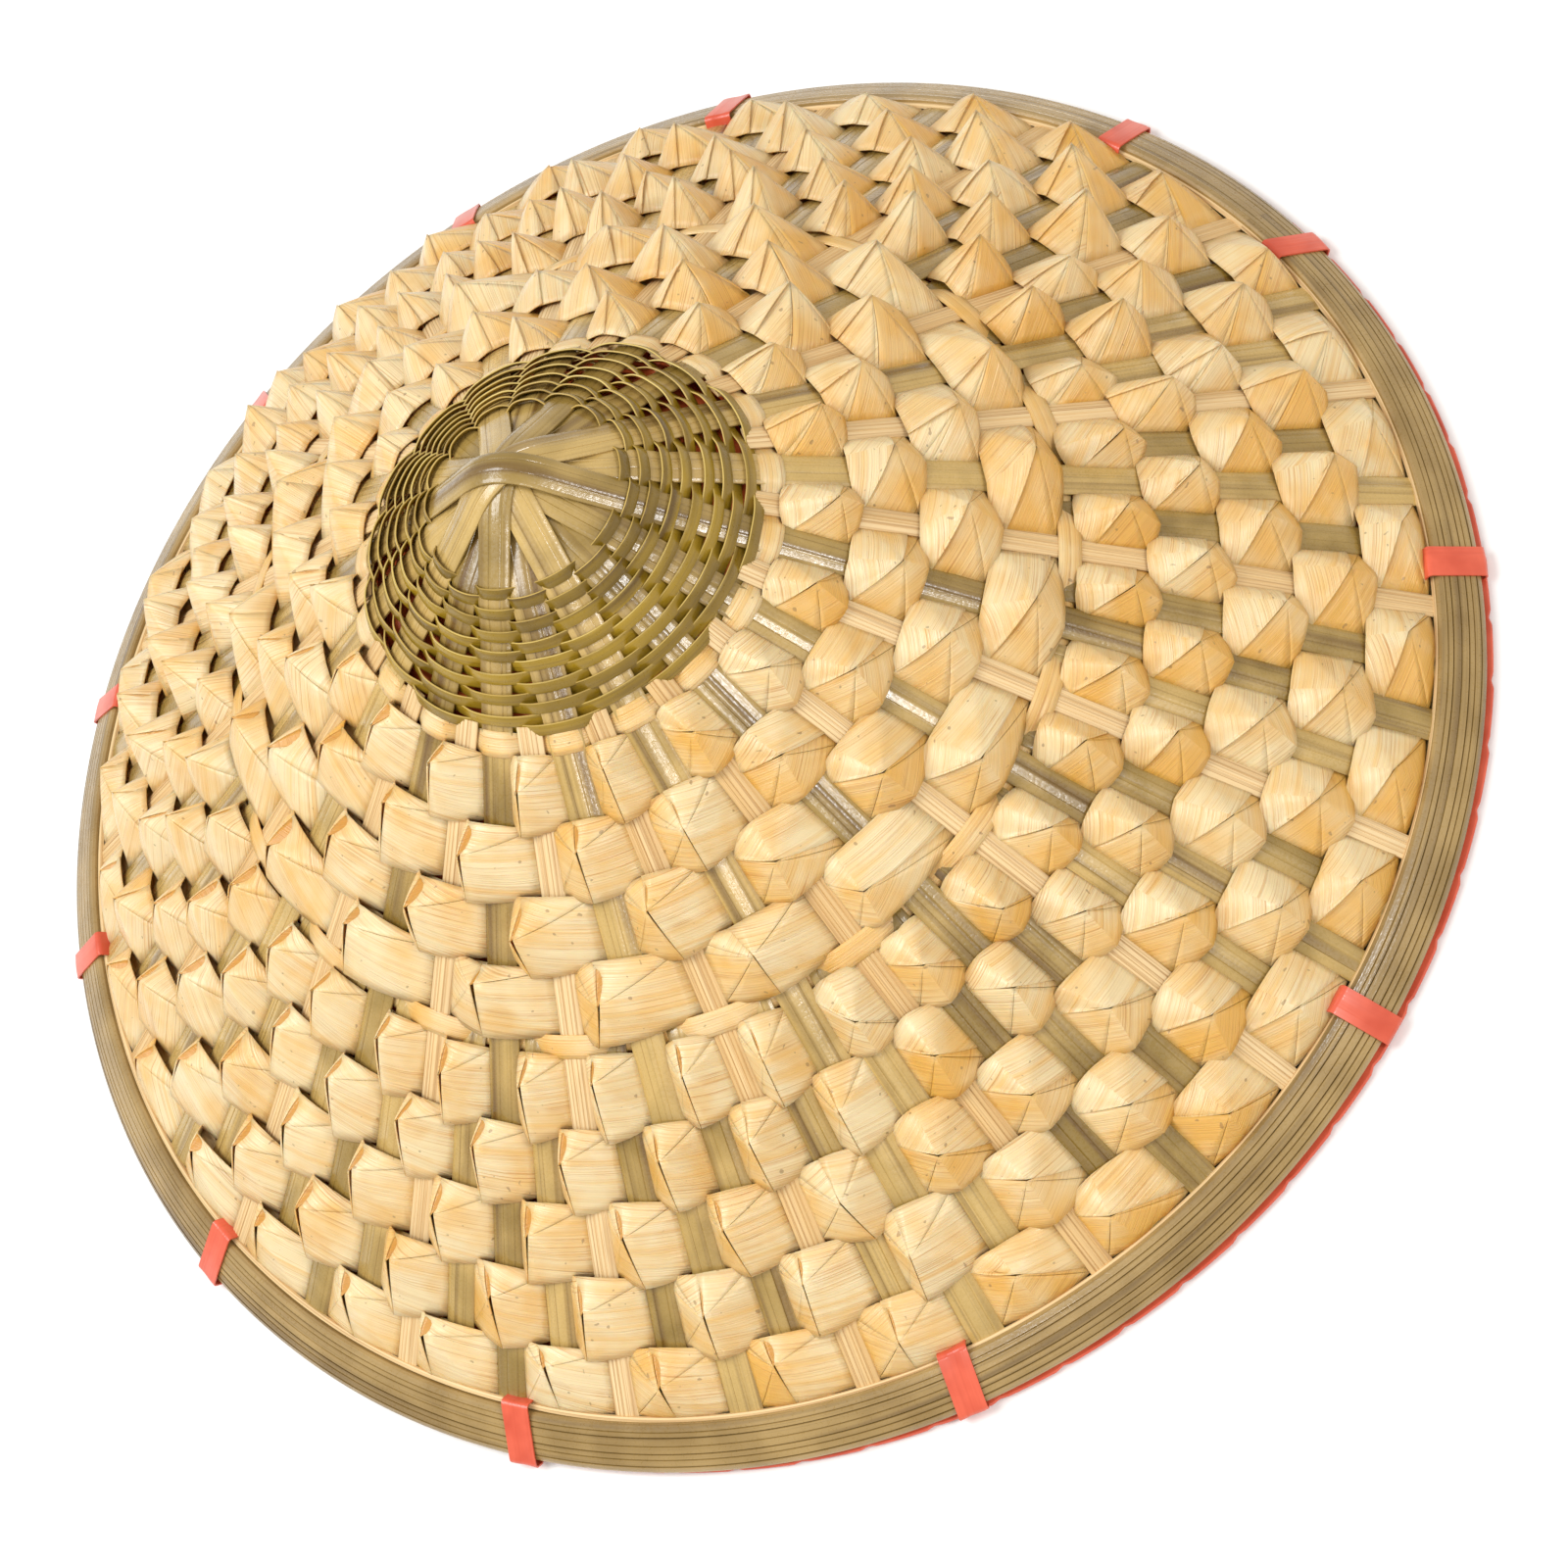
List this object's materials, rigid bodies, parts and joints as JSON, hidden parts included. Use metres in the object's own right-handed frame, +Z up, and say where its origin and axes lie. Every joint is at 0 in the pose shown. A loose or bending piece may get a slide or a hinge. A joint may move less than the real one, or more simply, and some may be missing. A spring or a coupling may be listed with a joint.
{
  "type": "conical hat",
  "caption": "Wide conical sun hat woven from split bamboo, with rows of folded leaf peaks, a grooved bamboo rim tied with red straps, a red lining and a head ring inside.",
  "frame": {"origin": "centre of the plane that the rim rests on", "axes": "+Z up along the cone's axis, towards its tip; +X and +Y across the rim"},
  "size_m": [0.4222, 0.4192, 0.1522],
  "materials": {
    "green_bamboo": "glossy outer skin of split bamboo, olive to straw",
    "pale_bamboo": "satin inner bamboo with lengthwise grain",
    "weft_bamboo": "satin green bamboo splits",
    "leaf_strip": "satin dried leaf strip with fine grain",
    "rim_bamboo": "satin bamboo with lengthwise grooves",
    "red_strap": "semi-gloss packing strap",
    "red_lining": "plaited red strap"
  },
  "bodies": {
    "root": {"crown_strip_1": "green_bamboo", "crown_strip_2": "green_bamboo", "crown_strip_3": "green_bamboo", "crown_strip_4": "green_bamboo", "crown_strip_5": "green_bamboo", "crown_strip_6": "green_bamboo", "crown_strip_7": "green_bamboo", "crown_strip_8": "green_bamboo", "crown_strip_9": "green_bamboo", "pale_stakes": "pale_bamboo", "added_stakes": "green_bamboo", "crown_weft_01": "weft_bamboo", "crown_weft_02": "weft_bamboo", "crown_weft_03": "weft_bamboo", "crown_weft_04": "weft_bamboo", "crown_weft_05": "weft_bamboo", "crown_weft_06": "weft_bamboo", "crown_weft_07": "weft_bamboo", "crown_weft_08": "weft_bamboo", "crown_weft_09": "weft_bamboo", "crown_weft_10": "weft_bamboo", "crown_weft_11": "weft_bamboo", "crown_weft_12": "weft_bamboo", "crown_weft_13": "weft_bamboo", "crown_weft_14": "weft_bamboo", "inner_binding_ring": "leaf_strip", "outer_binding_ring": "leaf_strip", "leaf_row_1": "leaf_strip", "leaf_row_2": "leaf_strip", "leaf_row_3": "leaf_strip", "leaf_row_4": "leaf_strip", "leaf_row_5": "leaf_strip", "leaf_row_6": "leaf_strip", "leaf_row_7": "leaf_strip", "leaf_row_8": "leaf_strip", "leaf_row_9": "leaf_strip", "upper_rim_hoop": "rim_bamboo", "lower_rim_hoop": "rim_bamboo", "rim_edge_strip": "pale_bamboo", "rim_wrap": "red_strap", "rim_tie_01": "red_strap", "rim_tie_02": "red_strap", "rim_tie_03": "red_strap", "rim_tie_04": "red_strap", "rim_tie_05": "red_strap", "rim_tie_06": "red_strap", "rim_tie_07": "red_strap", "rim_tie_08": "red_strap", "rim_tie_09": "red_strap", "rim_tie_10": "red_strap", "rim_tie_11": "red_strap", "rim_tie_12": "red_strap", "lining_cone": "red_lining", "head_ring": "pale_bamboo", "head_ring_ties": "red_strap"}
  },
  "joints": []
}
